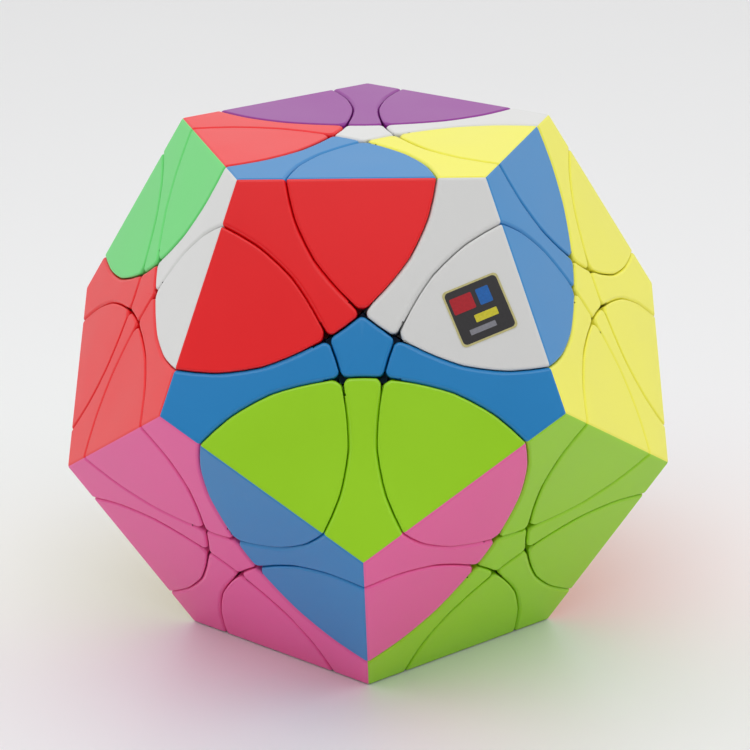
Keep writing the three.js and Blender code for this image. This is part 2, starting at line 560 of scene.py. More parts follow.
@dataclass(frozen=True)
class EdgeLine:
    """An edge between two vertices."""

    start: Vertex
    end: Vertex

    @property
    def faces(self) -> tuple[Face, ...]:
        """The two faces on either side."""
        return tuple(face for face in FACES if face in self.start.faces and face in self.end.faces)

    @property
    def name(self) -> str:
        """The name that its edge piece goes by."""
        return piece_name(self.faces)


@dataclass
class Dodecahedron:
    """The regular solid that the puzzle fills, standing on a face.

    Attributes:
        edge: the length of an edge, in millimetres.
        normals: the outward direction of every face.
        vertices: the twenty vertices.
        edges: the thirty edges.
    """

    edge: float
    normals: dict[Face, Vector] = field(init=False)
    vertices: list[Vertex] = field(init=False)
    edges: list[EdgeLine] = field(init=False)

    def __post_init__(self) -> None:
        """Work out the faces' directions, the vertices and the edges."""
        self.normals = {face: self._normal(index) for index, face in enumerate(FACES)}
        self.vertices = [self._vertex(trio) for trio in itertools.combinations(FACES, 3) if self._meet(trio)]
        self.edges = [
            EdgeLine(a, b) for a, b in itertools.combinations(self.vertices, 2)
            if abs(a.direction.angle(b.direction) - NEIGHBOUR_ANGLE) < NEAR
        ]

    @staticmethod
    def _normal(index: int) -> Vector:
        """The outward direction of a face.

        Args:
            index: the face's place in FACES.

        Returns:
            The direction.
        """
        if index in (0, 11):
            return Vector((0, 0, 1 if index == 0 else -1))
        ring, step = divmod(index - 1, 5)
        around = FRONT + step * math.tau / 5 + ring * math.pi / 5
        tilt = -RING_TILT if ring else RING_TILT
        return Vector((math.cos(tilt) * math.cos(around), math.cos(tilt) * math.sin(around), math.sin(tilt)))

    def _meet(self, trio: tuple[Face, ...]) -> bool:
        """Whether three faces share a vertex.

        Args:
            trio: the faces.

        Returns:
            True if every two of them are neighbours.
        """
        level = 1 / math.sqrt(5)
        pairs = itertools.combinations(trio, 2)
        return all(abs(self.normals[a].dot(self.normals[b]) - level) < NEAR for a, b in pairs)

    def _vertex(self, trio: tuple[Face, ...]) -> Vertex:
        """The vertex where three faces meet."""
        return Vertex(sum((self.normals[face] for face in trio), Vector()).normalized(), trio)

    @property
    def in_radius(self) -> float:
        """The distance from the centre to a face, in millimetres."""
        return IN_RADIUS * self.edge

    def neighbours(self, vertex: Vertex) -> list[Vertex]:
        """The vertices at the other ends of a vertex's edges."""
        own = [edge for edge in self.edges if vertex in (edge.start, edge.end)]
        return [edge.end if edge.start is vertex else edge.start for edge in own]

    def vertex_turn(self, vertex: Vertex) -> Matrix:
        """The turn that carries a corner prototype to a vertex."""
        return basis(vertex.direction, self.neighbours(vertex)[0].direction)

    def edge_turn(self, edge: EdgeLine) -> Matrix:
        """The turn that carries an edge prototype to an edge."""
        return basis(edge.start.direction + edge.end.direction, edge.start.direction)

    def face_turn(self, face: Face) -> Matrix:
        """The turn that carries a cap prototype to a face."""
        corner = next(vertex for vertex in self.vertices if face in vertex.faces)
        return basis(self.normals[face], corner.direction)


# ------------------------------------------------------------------ the turning layer


@dataclass(frozen=True)
class TurningLayer:
    """The solid of revolution that a layer fills, about the line from the centre through its vertex.

    Lengths are in edges of the dodecahedron, apart from the play, which is in millimetres.
    """

    edge: float
    play: float = 0.14
    flange_angle: float = math.radians(31.5)
    flange_radius: float = 0.76
    underside: float = 0.635
    wall_foot: tuple[float, float] = (0.33, 0.685)
    wall_ledge: tuple[float, float] = (0.59, 0.955)
    wall_bend: tuple[float, float] = (0.668, 0.985)
    wall_top: tuple[float, float] = (0.752, 1.112)
    wall_steps: int = 3
    run_out: float = 5.5
    facets: int = 72
    under_steps: int = 6

    def _side(self) -> list[Vector]:
        """The layer's side from the flange up over the wall.

        Returns:
            Its points as radius and height, in millimetres.
        """
        ledge, bend, top = (Vector(point) for point in (self.wall_ledge, self.wall_bend, self.wall_top))
        wall = []
        for step in range(self.wall_steps + 1):
            t = step / self.wall_steps
            wall.append(ledge * (1 - t) ** 2 + bend * 2 * t * (1 - t) + top * t**2)
        wall[-1] = wall[-2] + (wall[-1] - wall[-2]) * self.run_out
        rim = Vector((math.sin(self.flange_angle), math.cos(self.flange_angle)))
        side = [rim * self.underside, rim * self.flange_radius, Vector(self.wall_foot), *wall]
        return [point * self.edge for point in side]

    def _moved(self, distance: float) -> list[tuple[float, float]]:
        """The side moved outwards.

        Args:
            distance: how far, in millimetres.

        Returns:
            Its points as radius and height, in millimetres.
        """
        side = self._side()
        normals = []
        for here, there in itertools.pairwise(side):
            along = (there - here).normalized()
            normals.append(Vector((along.y, -along.x)))
        moved = []
        for index, point in enumerate(side):
            before = normals[max(index - 1, 0)]
            after = normals[min(index, len(normals) - 1)]
            moved.append(point + (before + after) * distance / (1 + before.dot(after)))
        return [(point.x, point.y) for point in moved]

    def filled(self) -> bpy.types.Object:
        """The layer's own solid, half the play smaller, with a hollow underside over the core.

        Returns:
            The solid, about Z.
        """
        side = self._moved(-self.play / 2)
        radius = self.underside * self.edge
        reach = math.atan2(side[0][0], side[0][1])
        angles = [reach * k / self.under_steps for k in range(self.under_steps)]
        under = [(radius * math.sin(angle), radius * math.cos(angle)) for angle in angles]
        return turned("layer", [*under, *side, (0.0, side[-1][1])], self.facets)

    def cleared(self) -> bpy.types.Object:
        """The room a layer needs, half the play larger and open down to the centre."""
        side = self._moved(self.play / 2)
        return turned("room", [(0.0, 0.0), *side, (0.0, side[-1][1])], self.facets)


# ------------------------------------------------------------------ shaping the prototypes


@dataclass(frozen=True)
class Rims:
    """How a piece's outer edges are softened, in millimetres.

    Attributes:
        width: the width of the rounding.
        segments: the number of its steps.
        merge: points of an outline closer than this become one.
        clean: points closer than this become one once the rims are round.
        ridge: edges that turn by more than this are rounded.
    """

    width: float = 0.5
    segments: int = 4
    merge: float = 0.15
    clean: float = 0.01
    ridge: float = math.radians(20)

    def on_face(self, face: bmesh.types.BMFace, planes: list[Vector], level: float) -> bool:
        """Whether a facet lies on one of the dodecahedron's faces.

        Args:
            face: the facet.
            planes: the faces' directions.
            level: the faces' distance from the centre.

        Returns:
            True on a face of the dodecahedron.
        """
        middle = face.calc_center_median()
        return any(abs(middle.dot(n) - level) < ON_PLANE and face.normal.dot(n) > ALONG_PLANE for n in planes)

    def soften(self, solid: bpy.types.Object, planes: list[Vector], level: float) -> None:
        """Round the rims of a piece's outer facets and the ridges between them.

        Args:
            solid: the piece.
            planes: the directions of the faces that it shows.
            level: the faces' distance from the centre.
        """
        bm = bmesh.new()
        bm.from_mesh(solid.data)
        near = [vert for vert in bm.verts if any(abs(vert.co.dot(n) - level) < ON_PLANE for n in planes)]
        bmesh.ops.remove_doubles(bm, verts=near, dist=self.merge)
        for normal in planes * 3:
            for vert in bm.verts:
                gap = level - vert.co.dot(normal)
                if abs(gap) < ON_PLANE:
                    vert.co += normal * gap
        dissolve_flat(bm)
        outer = {face for face in bm.faces if self.on_face(face, planes, level)}
        rims = [
            edge for edge in bm.edges
            if outer.intersection(edge.link_faces) and edge.calc_face_angle(0) > self.ridge
        ]
        bmesh.ops.bevel(bm, geom=rims, offset=self.width, offset_type="OFFSET", segments=self.segments,
                        profile=0.5, affect="EDGES", clamp_overlap=False, material=-1)
        bmesh.ops.remove_doubles(bm, verts=bm.verts, dist=self.clean)
        loose = [vert for vert in bm.verts if not vert.link_faces]
        bmesh.ops.delete(bm, geom=loose, context="VERTS")
        wires = [edge for edge in bm.edges if not edge.link_faces]
        bmesh.ops.delete(bm, geom=wires, context="EDGES")
        bmesh.ops.recalc_face_normals(bm, faces=bm.faces)
        bm.to_mesh(solid.data)
        bm.free()


def trim(solid: bpy.types.Object, normal: Vector, level: float) -> None:
    """Cut a solid off flat and close it.

    Args:
        solid: the solid to cut.
        normal: the cut's outward direction.
        level: the cut's distance from the centre.
    """
    bm = bmesh.new()
    bm.from_mesh(solid.data)
    geometry = bm.verts[:] + bm.edges[:] + bm.faces[:]
    cut = bmesh.ops.bisect_plane(bm, geom=geometry, dist=NEAR, plane_co=normal * level, plane_no=normal,
                                 clear_outer=True)
    rim = [part for part in cut["geom_cut"] if isinstance(part, bmesh.types.BMEdge)]
    bmesh.ops.contextual_create(bm, geom=rim)
    bmesh.ops.recalc_face_normals(bm, faces=bm.faces)
    bm.to_mesh(solid.data)
    bm.free()


def round_tips(solid: bpy.types.Object, normal: Vector, planes: list[Vector], level: float,
               radius: float) -> None:
    """Round the sharp turns of a piece's outline on one face of the dodecahedron.

    Each tip is cut back by a block with a round bite, so that the outline follows an arc.

    Args:
        solid: the piece.
        normal: the direction of the face.
        planes: the directions of all the faces that the piece shows.
        level: their distance from the centre.
        radius: the arc's radius.
    """
    bm = bmesh.new()
    bm.from_mesh(solid.data)
    bmesh.ops.remove_doubles(bm, verts=bm.verts, dist=ON_PLANE)
    dissolve_flat(bm)
    tips = []
    for vert in bm.verts:
        if abs(vert.co.dot(normal) - level) > ON_OUTLINE:
            continue
        rim = [edge.other_vert(vert).co - vert.co for edge in vert.link_edges
               if abs(edge.other_vert(vert).co.dot(normal) - level) < ON_OUTLINE]
        walls = [face for face in vert.link_faces if all(face.normal.dot(n) < ALONG_PLANE for n in planes)]
        if len(rim) != 2 or len(walls) < 2:
            continue
        inner = rim[0].angle(rim[1])
        steep = max(a.normal.angle(b.normal) for a, b in itertools.combinations(walls, 2))
        if inner < TIP_ANGLE and steep > WALL_ANGLE and min(side.length for side in rim) > TIP_SIDE:
            tips.append((vert.co.copy(), (rim[0].normalized() + rim[1].normalized()).normalized(), inner / 2))
    bm.free()
    for tip, inward, half in tips:
        combine(solid, tip_cutter(tip, inward, normal, half, radius), "DIFFERENCE")


def tip_cutter(tip: Vector, inward: Vector, normal: Vector, half: float, radius: float) -> bpy.types.Object:
    """The block with a round bite that rounds a tip.

    Args:
        tip: the tip's point.
        inward: the direction from the tip into the piece.
        normal: the direction of the face.
        half: half the angle between the tip's sides.
        radius: the arc's radius.

    Returns:
        The cutting solid.
    """
    centre = tip + inward * (radius / math.sin(half))
    spare, height, facets = 0.8, 10, 40
    touch = radius * math.sin(half)
    reach = radius / math.sin(half) - touch + spare
    place = Matrix.Translation(centre) @ basis(normal, inward)
    body = block((reach, 2 * radius * math.cos(half) + spare, height))
    bmesh.ops.translate(body, verts=body.verts, vec=(-touch - reach / 2, 0, 0))
    bmesh.ops.transform(body, matrix=place, verts=body.verts)
    bite = bmesh.new()
    bmesh.ops.create_cone(bite, cap_ends=True, cap_tris=False, segments=facets, radius1=radius,
                          radius2=radius, depth=height + 4)
    bmesh.ops.transform(bite, matrix=place, verts=bite.verts)
    cutter = object_from(body, "tip_block")
    combine(cutter, object_from(bite, "tip_bite"), "DIFFERENCE")
    return cutter


def mark_sectors(solid: bpy.types.Object, directions: list[Vector], cuts: list[Vector]) -> None:
    """Split a piece into its moulded colours: each facet's colour runs down its own side.

    Args:
        solid: the piece.
        directions: the direction of each colour's face.
        cuts: the normals of the planes through the centre that part the colours.
    """
    bm = bmesh.new()
    bm.from_mesh(solid.data)
    for normal in cuts:
        geometry = bm.verts[:] + bm.edges[:] + bm.faces[:]
        bmesh.ops.bisect_plane(bm, geom=geometry, dist=ON_OUTLINE, plane_co=(0, 0, 0), plane_no=normal)
    for face in bm.faces:
        middle = face.calc_center_median()
        face.material_index = max(range(len(directions)), key=lambda k: middle.dot(directions[k]))
        face.smooth = True
    bm.to_mesh(solid.data)
    bm.free()


# ------------------------------------------------------------------ the pieces


@dataclass
class Prototype:
    """A finished shape in millimetres about the puzzle's centre, copied to every place.

    Attributes:
        shape: the helper object that holds the mesh.
        directions: the direction of each colour's face, in the order of the material slots.
    """

    shape: bpy.types.Object
    directions: list[Vector]

    def place(self, name: str, turn: Matrix, centre: Vector,
              materials: list[bpy.types.Material]) -> bpy.types.Object:
        """Copy the shape to a place.

        Args:
            name: the new piece's name.
            turn: the turn that carries it to its place.
            centre: the puzzle's centre, in metres.
            materials: its materials, in the order of its slots.

        Returns:
            The placed piece.
        """
        mesh = self.shape.data.copy()
        mesh.name = name
        mesh.transform(Matrix.Translation(centre) @ turn @ Matrix.Scale(MILLIMETRE, 4))
        for material in materials:
            mesh.materials.append(material)
        made = bpy.data.objects.new(name, mesh)
        bpy.context.scene.collection.objects.link(made)
        mesh.set_sharp_from_angle(angle=SHELL_SHARP)
        weighted = made.modifiers.new("even_normals", "WEIGHTED_NORMAL")
        weighted.keep_sharp = True
        weighted.weight = 50
        return made


@dataclass(frozen=True)
class CornerMould:
    """The corner piece: three strips that meet at the vertex, on a stem with a flange."""

    solid: Dodecahedron
    layer: TurningLayer
    rims: Rims = Rims()
    strip_radius: float = 1.1
    bore_radius: float = 1.7
    bore_bottom: float = 10.0
    chamber_radius: float = 3.4
    chamber_floor: float = 28.5
    chamber_top: float = 37.0
    chamber_facets: int = 24

    def build(self) -> Prototype:
        """Cut the corner from its layer, less its neighbours' layers and the screw's chamber.

        Returns:
            The corner, whose vertex is on Z.
        """
        shape = self.layer.filled()
        for third in range(3):
            room = self.layer.cleared()
            around = Matrix.Rotation(third * math.tau / 3, 4, "Z")
            room.data.transform(around @ Matrix.Rotation(NEIGHBOUR_ANGLE, 4, "Y"))
            combine(shape, room, "DIFFERENCE")
        planes = []
        for third in range(3):
            around = Matrix.Rotation((third + 0.5) * math.tau / 3, 4, "Z")
            planes.append((around @ Matrix.Rotation(FACE_TO_VERTEX, 4, "Y")) @ Vector((0, 0, 1)))
        for normal in planes:
            trim(shape, normal, self.solid.in_radius)
        for normal in planes:
            round_tips(shape, normal, planes, self.solid.in_radius, self.strip_radius)
        bands = [(self.bore_radius, self.bore_bottom, self.chamber_floor),
                 (self.chamber_radius, self.chamber_floor, self.chamber_top)]
        combine(shape, stepped("chamber", bands, self.chamber_facets), "DIFFERENCE")
        self.rims.soften(shape, planes, self.solid.in_radius)
        sides = [Matrix.Rotation(k * math.tau / 3, 4, "Z") @ Vector((0, 1, 0)) for k in range(3)]
        mark_sectors(shape, planes, sides)
        return Prototype(shape, planes)


@dataclass(frozen=True)
class EdgeMould:
    """The edge piece: two petals that meet along an edge, on a flange."""

    solid: Dodecahedron
    layer: TurningLayer
    rims: Rims = Rims()
    tip_radius: float = 2.1

    def build(self) -> Prototype:
        """Cut the edge piece as what two neighbouring layers share.

        Returns:
            The edge piece, whose edge crosses Z and runs along X.
        """
        shape, other = self.layer.filled(), self.layer.filled()
        shape.data.transform(Matrix.Rotation(NEIGHBOUR_ANGLE / 2, 4, "Y"))
        other.data.transform(Matrix.Rotation(-NEIGHBOUR_ANGLE / 2, 4, "Y"))
        combine(shape, other, "INTERSECT")
        tilt = math.acos(IN_RADIUS / MID_RADIUS)
        planes = [Vector((0, side * math.sin(tilt), math.cos(tilt))) for side in (1, -1)]
        for normal in planes:
            trim(shape, normal, self.solid.in_radius)
        for normal in planes:
            round_tips(shape, normal, planes, self.solid.in_radius, self.tip_radius)
        self.rims.soften(shape, planes, self.solid.in_radius)
        mark_sectors(shape, planes, [Vector((0, 1, 0))])
        return Prototype(shape, planes)


@dataclass(frozen=True)
class CapMould:
    """The fixed face cap: a small pentagon that widens below the strips, on a post."""

    solid: Dodecahedron
    layer: TurningLayer
    rims: Rims = Rims()
    tip_radius: float = 0.9
    post_bottom: float = 21.4
    blank_radius: float = 12.0
    blank_facets: int = 60
    play: float = 0.32

    def build(self) -> Prototype:
        """Cut the cap from a blank, less the five layers round it.

        Returns:
            The cap, about Z.
        """
        level = self.solid.in_radius
        bands = [(self.blank_radius, self.post_bottom, level)]
        shape = stepped("cap", bands, self.blank_facets)
        for fifth in range(5):
            room = replace(self.layer, play=self.play).cleared()
            around = Matrix.Rotation(fifth * math.tau / 5, 4, "Z")
            room.data.transform(around @ Matrix.Rotation(FACE_TO_VERTEX, 4, "Y"))
            combine(shape, room, "DIFFERENCE")
        up = Vector((0, 0, 1))
        round_tips(shape, up, [up], level, self.tip_radius)
        self.rims.soften(shape, [up], level)
        mark_sectors(shape, [up], [])
        return Prototype(shape, [up])


@dataclass(frozen=True)
class CoreBall:
    """The ball that carries the screws and the caps' posts."""

    radius: float = 22.0
    socket_radius: float = 1.35
    socket_bottom: float = 11.0
    socket_rim: float = 2.6
    socket_boss: float = 0.25
    socket_facets: int = 16
    subdivisions: int = 5

    def build(self, solid: Dodecahedron) -> bpy.types.Object:
        """The ball with its twenty sockets.

        Args:
            solid: the dodecahedron whose vertices the sockets point to.

        Returns:
            The ball, in millimetres about the centre.
        """
        bm = bmesh.new()
        bmesh.ops.create_icosphere(bm, subdivisions=self.subdivisions, radius=self.radius)
        ball = object_from(bm, "core_ball")
        top = self.radius + 1
        for vertex in solid.vertices:
            bands = [(self.socket_radius, self.socket_bottom, self.radius - self.socket_boss),
                     (self.socket_rim, self.radius - self.socket_boss, top)]
            socket = stepped("socket", bands, self.socket_facets)
            socket.data.transform(solid.vertex_turn(vertex))
            combine(ball, socket, "DIFFERENCE")
        for polygon in ball.data.polygons:
            polygon.use_smooth = True
        return ball


@dataclass(frozen=True)
class CornerScrew:
    """The screw a corner turns on, with its washer and spring, along Z."""

    facets: int = 32
    shank_radius: float = 1.3
    cone: float = 1.5
    dome: float = 0.35
    recess: tuple[float, float, float] = (3.0, 0.5, 1.8)
    tip: float = 12.0
    neck: float = 34.0
    top: float = 35.6
    head_radius: float = 2.8
    spring_radius: float = 2.15
    spring_play: float = 0.1
    wire_radius: float = 0.28
    wire_facets: int = 8
    spring_turns: int = 5
    turn_steps: int = 20
    washer_radius: float = 3.0
    washer_height: float = 0.3
    washer_lift: float = 0.05
    washer_play: float = 0.2
    chamber_floor: float = 28.5

    def screw(self) -> bpy.types.Object:
        """The screw: a pointed shank and a pan head with a cross recess.

        Returns:
            The screw.
        """
        points = [(0.0, self.tip), (self.shank_radius, self.tip + self.cone), (self.shank_radius, self.neck),
                  (self.head_radius, self.neck), (self.head_radius, self.top - self.dome),
                  (self.head_radius - self.dome, self.top), (0.0, self.top)]
        made = turned("screw", points, self.facets)
        for quarter in range(2):
            bm = block(self.recess)
            turn = Matrix.Rotation(quarter * math.pi / 2, 4, "Z")
            bmesh.ops.transform(bm, matrix=Matrix.Translation((0, 0, self.top)) @ turn, verts=bm.verts)
            combine(made, object_from(bm, "recess"), "DIFFERENCE")
        return made

    def spring(self) -> bpy.types.Object:
        """The spring: a wire's round section spun up into a coil.

        Returns:
            The spring.
        """
        bm = bmesh.new()
        low = self.chamber_floor + self.washer_height + self.wire_radius + self.spring_play
        high = self.neck - self.wire_radius - self.spring_play
        ring = bmesh.ops.create_circle(bm, cap_ends=True, segments=self.wire_facets,
                                       radius=self.wire_radius)["verts"]
        place = Matrix.Translation((self.spring_radius, 0, low)) @ Matrix.Rotation(math.pi / 2, 4, "X")
        bmesh.ops.transform(bm, matrix=place, verts=ring)
        steps = self.turn_steps * self.spring_turns
        rise = Vector((0, 0, (high - low) / steps))
        section = bm.verts[:] + bm.edges[:] + bm.faces[:]
        bmesh.ops.spin(bm, geom=section, cent=(0, 0, 0), axis=(0, 0, 1), dvec=rise,
                       angle=math.tau * self.spring_turns, steps=steps, use_merge=False)
        bmesh.ops.remove_doubles(bm, verts=bm.verts, dist=NEAR)
        bmesh.ops.recalc_face_normals(bm, faces=bm.faces)
        return object_from(bm, "spring")

    def washer(self) -> bpy.types.Object:
        """The washer: a flat ring over the chamber's floor, spun from its section.

        Returns:
            The washer.
        """
        bm = bmesh.new()
        bottom, top = self.chamber_floor + self.washer_lift, self.chamber_floor + self.washer_height
        inner = self.shank_radius + self.washer_play
        corners = [(inner, bottom), (self.washer_radius, bottom), (self.washer_radius, top), (inner, top)]
        ring = [bm.verts.new((radius, 0, height)) for radius, height in corners]
        sides = [bm.edges.new((ring[k - 1], ring[k])) for k in range(4)]
        bmesh.ops.spin(bm, geom=ring + sides, cent=(0, 0, 0), axis=(0, 0, 1), dvec=(0, 0, 0),
                       angle=math.tau, steps=self.facets, use_merge=True)
        bmesh.ops.recalc_face_normals(bm, faces=bm.faces)
        return object_from(bm, "washer")


@dataclass(frozen=True)
class Bar:
    """A coloured bar of the label, its place and size in parts of the label's face."""

    name: str
    colour: tuple[float, float, float]
    place: tuple[float, float]
    size: tuple[float, float]


@dataclass(frozen=True)
class MakersLabel:
    """A plain square label with coloured bars, stuck on one petal. Lengths are in edges.

    Attributes:
        size: the label's side.
        twist: how far it is stuck on askew.
        inward: its distance from the ridge of the petal.
        thickness: the backing's thickness.
        border: the width of the pale border.
        corner: how far a block's corners are cut, as a part of its shorter side.
        middle: the part of the face's width that the bars lie in.
        face_lift: the height of the face's underside, in thicknesses, as the next three are.
        face_height: the face's own height.
        bar_lift: the height of the bars' underside.
        bar_height: the bars' own height.
        bars: the bars.
    """

    size: float = 0.238
    twist: float = math.radians(4)
    inward: float = 0.195
    thickness: float = 0.0022
    border: float = 0.008
    corner: float = 0.08
    middle: float = 0.8
    face_lift: float = 0.9
    face_height: float = 0.4
    bar_lift: float = 1.2
    bar_height: float = 0.3
    bars: tuple[Bar, ...] = (
        Bar("label_red", (0.42, 0.01, 0.02), (-0.3, 0.22), (0.52, 0.30)),
        Bar("label_blue", (0.01, 0.12, 0.42), (0.22, 0.22), (0.30, 0.30)),
        Bar("label_yellow", (0.62, 0.55, 0.03), (0.10, -0.12), (0.54, 0.14)),
        Bar("label_grey", (0.22, 0.22, 0.25), (-0.08, -0.32), (0.62, 0.10)),
    )

    def _tile(self, name: str, centre: tuple[float, float], span: tuple[float, float], lift: float,
              height: float) -> bpy.types.Object:
        """A thin flat block with softened corners.

        Args:
            name: the block's name.
            centre: its middle.
            span: its two sides.
            lift: the height of its underside.
            height: its own height.

        Returns:
            The block.
        """
        bm = block((*span, height))
        upright = [edge for edge in bm.edges if abs(edge.verts[0].co.z - edge.verts[1].co.z) > height / 2]
        bmesh.ops.bevel(bm, geom=upright, offset=min(span) * self.corner, offset_type="OFFSET", segments=4,
                        profile=0.5, affect="EDGES", clamp_overlap=True, material=-1)
        bmesh.ops.translate(bm, verts=bm.verts, vec=(*centre, lift + height / 2))
        return object_from(bm, name)

    def build(self, edge: float) -> list[tuple[bpy.types.Object, bpy.types.Material]]:
        """The label's film, its pale border and its bars, flat on Z = 0, in millimetres.

        Args:
            edge: the length of an edge.

        Returns:
            Each piece and its material.
        """
        side = self.size * edge
        layer = self.thickness * edge
        gold = PrintedFilm("label_border", (0.55, 0.50, 0.22)).material()
        dark = PrintedFilm("label_film", (0.03, 0.028, 0.03)).material()
        inner = side - 2 * self.border * edge
        backing = self._tile("label_backing", (0, 0), (side, side), 0.0, layer)
        face = self._tile("label_face", (0, 0), (inner, inner), layer * self.face_lift,
                          layer * self.face_height)
        made = [(backing, gold), (face, dark)]
        for bar in self.bars:
            centre = (bar.place[0] * inner * self.middle, bar.place[1] * inner)
            span = (bar.size[0] * inner * self.middle, bar.size[1] * inner)
            tile = self._tile(bar.name, centre, span, layer * self.bar_lift, layer * self.bar_height)
            made.append((tile, PrintedFilm(bar.name, bar.colour).material()))
        return made


# ------------------------------------------------------------------ the puzzle


@dataclass
class Puzzle:
    """The whole puzzle, in the frame's place and size.

    Attributes:
        frame: what the frame holds.
        palette: the materials.
        solid: the dodecahedron that it fills.
        centre: its centre, in metres.
        layer: its turning layer.
        body_of: the body of every CAD node.
    """

    frame: dict
    palette: Palette
    solid: Dodecahedron = field(init=False)
    centre: Vector = field(init=False)
    layer: TurningLayer = field(init=False)
    body_of: dict[str, str] = field(init=False)

    def __post_init__(self) -> None:
        """Take the size and the bodies from the frame."""
        low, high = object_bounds()
        self.solid = Dodecahedron((high[2] - low[2]) / MILLIMETRE / (2 * IN_RADIUS))
        self.centre = Vector((0, 0, (high[2] + low[2]) / 2))
        self.layer = TurningLayer(self.solid.edge)
        bodies = self.frame["record"]["behaviour"]["bodies"]
        self.body_of = {node: body for body, nodes in bodies.items() for node in nodes}

    def mixed(self) -> dict[str, dict[Face, Colour]]:
        """The colour of every facet once the turns have been made.

        Returns:
            By piece name, the colour of each of the piece's faces.
        """
        places = [vertex.faces for vertex in self.solid.vertices] + [edge.faces for edge in self.solid.edges]
        paint = {piece_name(faces): {face: face.value for face in faces} for faces in places}
        for cycle in TURNS:
            follow = {face: cycle[(k + 1) % 3] for k, face in enumerate(cycle)}
            moved = {}
            for faces in (cycle, *((face, follow[face]) for face in cycle)):
                old = paint[piece_name(faces)]
                moved[piece_name([follow[f] for f in faces])] = {follow[f]: old[f] for f in faces}
            paint.update(moved)
        return paint

    def _colours(self, prototype: Prototype, turn: Matrix, facets: dict[Face, Colour]) -> list[Colour]:
        """The colour of each of a prototype's sectors at a place.

        Args:
            prototype: the shape.
            turn: the turn to the place.
            facets: the colours there by face.

        Returns:
            The colours in the order of the material slots.
        """
        found = []
        for direction in prototype.directions:
            there = turn @ direction
            face = max(facets, key=lambda f: self.solid.normals[f].dot(there))
            found.append(facets[face])
        return found

    def _set(self, prototype: Prototype, name: str, turn: Matrix, facets: dict[Face, Colour],
             node: str) -> None:
        """Place a coloured piece and let it stand for its CAD node.

        Args:
            prototype: the shape.
            name: the piece's name.
            turn: the turn to its place.
            facets: its colours by face.
            node: the CAD node that it stands for.
        """
        colours = self._colours(prototype, turn, facets)
        materials = [self.palette.plastics[colour] for colour in colours]
        made = prototype.place(name, turn, self.centre, materials)
        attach(made, self.body_of[node])
        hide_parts(node)
        colours[0].slot

    def build_shell(self) -> None:
        """Place the corners, the edge pieces and the face caps."""
        paint = self.mixed()
        corner = CornerMould(self.solid, self.layer).build()
        for vertex in self.solid.vertices:
            turn = self.solid.vertex_turn(vertex)
            name = f"corner_piece_{vertex.name}"
            self._set(corner, name, turn, paint[vertex.name], f"corner_{vertex.name}")
        log.info("%d corner pieces", len(self.solid.vertices))
        petal = EdgeMould(self.solid, self.layer).build()
        for edge in self.solid.edges:
            turn = self.solid.edge_turn(edge)
            self._set(petal, f"edge_piece_{edge.name}", turn, paint[edge.name], f"edge_{edge.name}")
        log.info("%d edge pieces", len(self.solid.edges))
        cap = CapMould(self.solid, self.layer).build()
        for face in FACES:
            turn = self.solid.face_turn(face)
            self._set(cap, f"face_cap_{face.name}", turn, {face: face.value}, "core_with_face_caps")
        log.info("%d face caps", len(FACES))
        discard(corner.shape, petal.shape, cap.shape)

    def _fit(self, name: str, shape: bpy.types.Object, turn: Matrix, material: bpy.types.Material) -> bpy.types.Object:
        """Place a copy of an inner part on the core.

        Args:
            name: the new piece's name.
            shape: the helper object that holds the mesh.
            turn: the turn to its place.
            material: its material.

        Returns:
            The placed piece.
        """
        made = Prototype(shape, []).place(name, turn, self.centre, [material])
        for polygon in made.data.polygons:
            polygon.use_smooth = True
        made.data.set_sharp_from_angle(angle=INNER_SHARP)
        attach(made, "root")
        return made

    def build_core(self) -> None:
        """Place the ball and the screw, spring and washer of every corner."""
        ball = CoreBall().build(self.solid)
        placed = self._fit("core_sphere", ball, Matrix.Identity(4), self.palette.core)
        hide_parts("core_with_face_caps")
        kit = CornerScrew()
        screw, spring, washer = kit.screw(), kit.spring(), kit.washer()
        for vertex in self.solid.vertices:
            turn = self.solid.vertex_turn(vertex)
            driven = self._fit(f"corner_screw_{vertex.name}", screw, turn, self.palette.screw)
            if f"screw_{vertex.name}" in self.body_of:
                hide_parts(f"screw_{vertex.name}")
            self._fit(f"spring_{vertex.name}", spring, turn, self.palette.spring)
            self._fit(f"washer_{vertex.name}", washer, turn, self.palette.screw)
        discard(ball, screw, spring, washer)
        log.info("core, screws, springs and washers")

    def build_label(self) -> None:
        """Stick the label on the front facet of the edge piece between the front and the right."""
        home = next(edge for edge in self.solid.edges if edge.name == "F_R")
        label = MakersLabel()
        normal = self.solid.normals[Face.F]
        low, high = sorted((home.start.direction, home.end.direction), key=lambda end: end.z)
        middle = (high + low).normalized() * MID_RADIUS
        along = (high - low).normalized()
        outward = along.cross(normal)
        centre = middle - outward * label.inward
        turn = Matrix((outward, along, normal)).transposed().to_4x4()
        place = Matrix.Translation(self.centre + centre * self.solid.edge * MILLIMETRE)
        seat = place @ turn @ Matrix.Rotation(label.twist, 4, "Z")
        for made, material in label.build(self.solid.edge):
            made.data.transform(seat @ Matrix.Scale(MILLIMETRE, 4))
            made.data.materials.append(material)
            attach(made, self.body_of["edge_F_R"])
        log.info("label")


# ------------------------------------------------------------------ the studio


